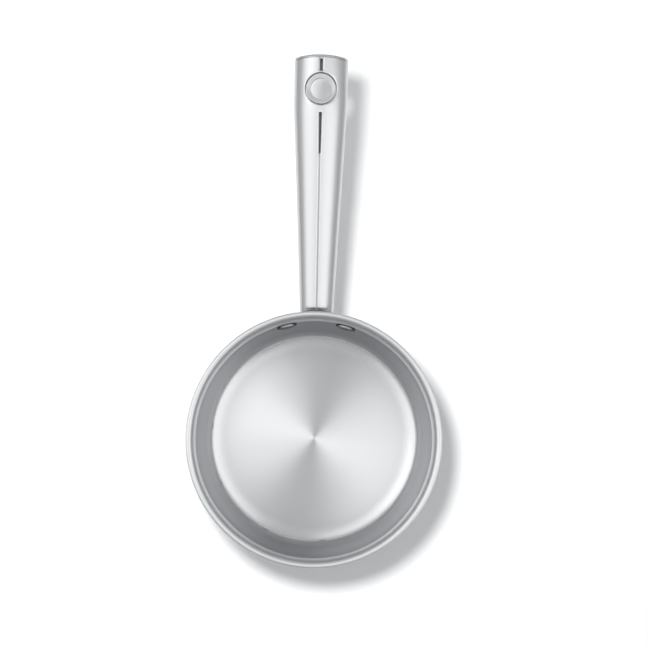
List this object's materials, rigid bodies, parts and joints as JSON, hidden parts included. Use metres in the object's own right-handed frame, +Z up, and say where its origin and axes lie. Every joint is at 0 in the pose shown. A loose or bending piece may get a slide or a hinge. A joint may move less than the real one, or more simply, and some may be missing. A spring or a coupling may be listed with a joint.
{
  "type": "saucepan",
  "caption": "Small stainless steel saucepan with a flared pouring rim, sandwich base and a long riveted hollow handle with a hanging hole.",
  "frame": {"origin": "middle of the base, on the surface the pan stands on", "axes": "+Z up along the axis of the pan, +Y from that axis towards the end of the handle, +X to the right when the handle points away"},
  "size_m": [0.1722, 0.3427, 0.1149],
  "materials": {
    "pan_steel": "turned inside, satin wall, polished rim",
    "core_aluminium": "rolled",
    "base_steel": "turned",
    "bracket_steel": "satin",
    "rivet_steel": "polished",
    "handle_steel": "satin, brushed lengthwise",
    "sleeve_steel": "polished"
  },
  "bodies": {
    "root": {"pan_shell": "pan_steel", "base_core": "core_aluminium", "base_cap": "base_steel", "handle_bracket": "bracket_steel", "rivet_left": "rivet_steel", "rivet_right": "rivet_steel", "handle_shell": "handle_steel", "hanging_sleeve": "sleeve_steel", "handle_end_cap": "handle_steel"}
  },
  "joints": []
}
